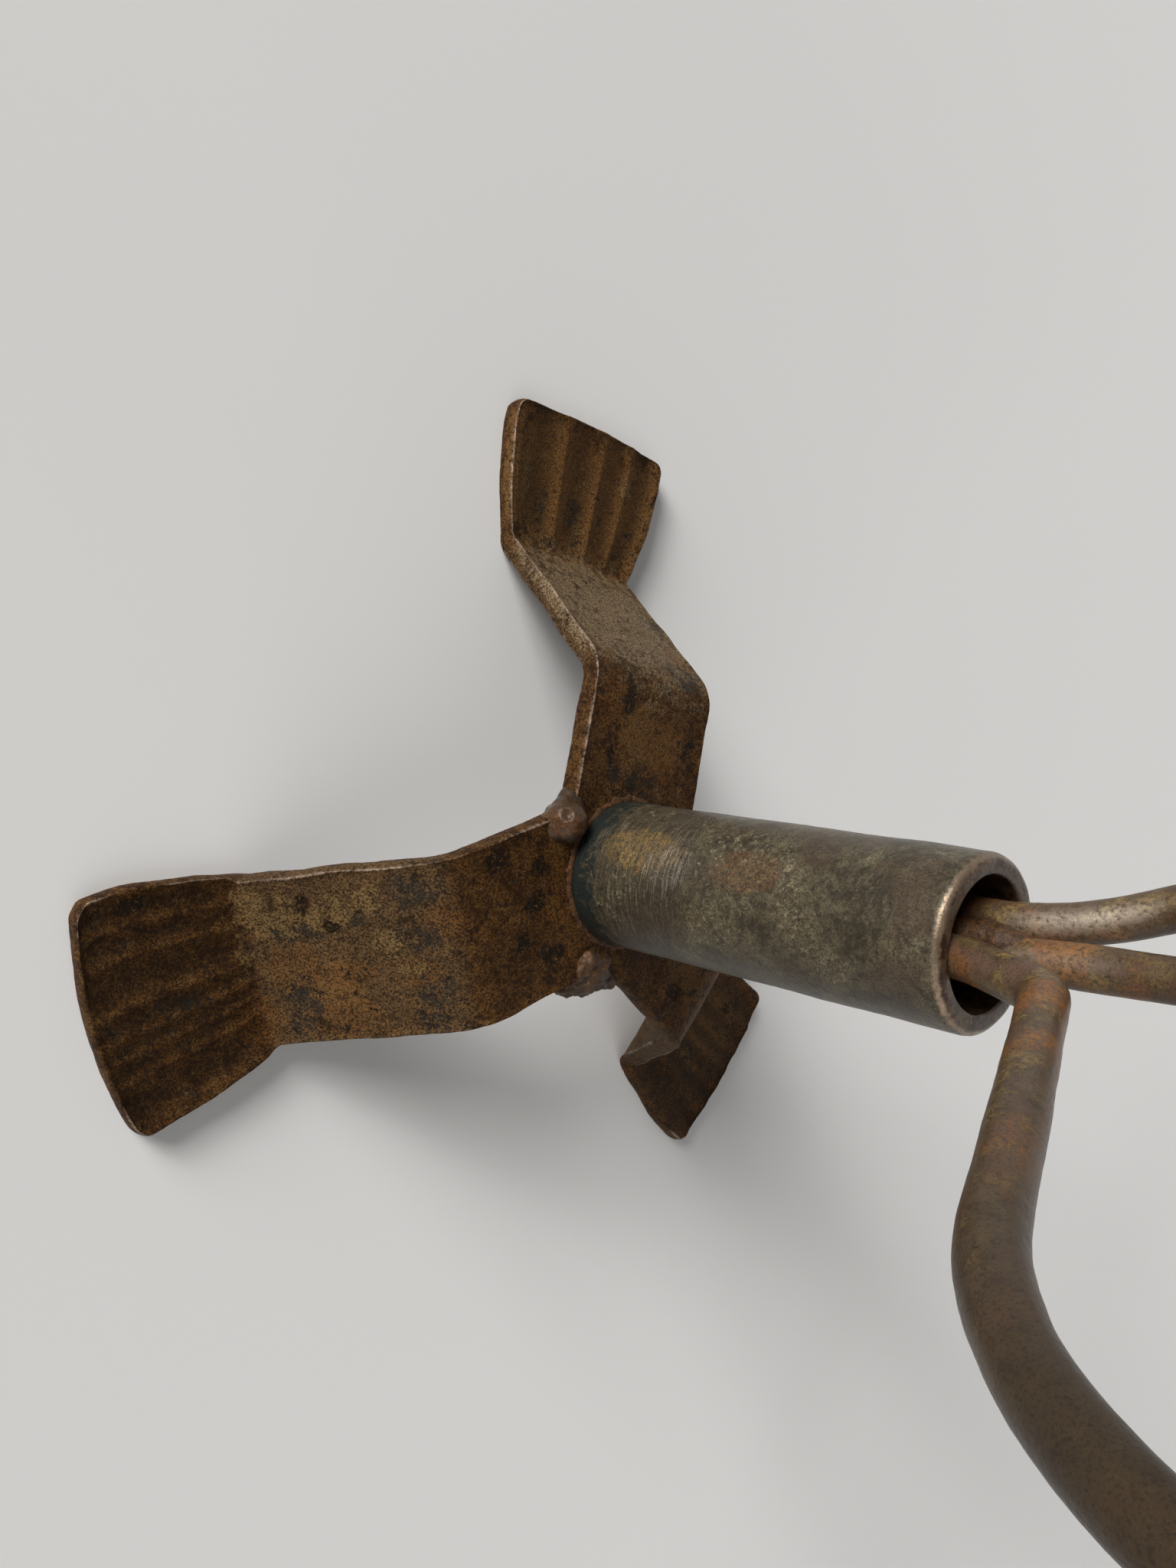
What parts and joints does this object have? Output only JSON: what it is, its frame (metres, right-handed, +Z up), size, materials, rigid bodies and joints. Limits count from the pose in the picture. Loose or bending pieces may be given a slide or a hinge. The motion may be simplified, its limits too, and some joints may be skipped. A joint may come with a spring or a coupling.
{
  "type": "three-armed candle holder",
  "caption": "Forged iron candle holder: a pipe stem on splayed flat-bar legs with fluted fishtail feet, with round-bar arms that carry drip pans and candle cups.",
  "frame": {"origin": "on the stem's axis, on the ground that the feet stand on", "axes": "+Z up along the stem's axis towards the arms; +Y along the first leg, towards its toe"},
  "size_m": [0.183, 0.1743, 0.2102],
  "materials": {
    "rusted_iron": "dark brown rust, pitted and waxed, with worn edges",
    "patinated_steel": "olive-grey mottled steel with a bright worn rim",
    "brown_rod": "brown iron with rubbed grey highlights",
    "weld_metal": "grey-brown lumpy weld metal"
  },
  "bodies": {
    "root": {"leg_1": "rusted_iron", "leg_2": "rusted_iron", "leg_3": "rusted_iron", "hub_weld_1": "weld_metal", "hub_weld_2": "weld_metal", "hub_weld_3": "weld_metal", "stem_pipe": "patinated_steel", "stem_weld": "weld_metal", "root_weld": "weld_metal", "bundle_weld": "weld_metal", "arm_1": "brown_rod", "arm_2": "brown_rod", "arm_3": "brown_rod", "pan_weld_1": "weld_metal", "pan_weld_2": "weld_metal", "pan_weld_3": "weld_metal", "drip_pan_1": "rusted_iron", "drip_pan_2": "rusted_iron", "drip_pan_3": "rusted_iron", "cup_weld_1": "weld_metal", "cup_weld_2": "weld_metal", "cup_weld_3": "weld_metal", "candle_cup_1": "patinated_steel", "candle_cup_2": "patinated_steel", "candle_cup_3": "patinated_steel"}
  },
  "joints": []
}
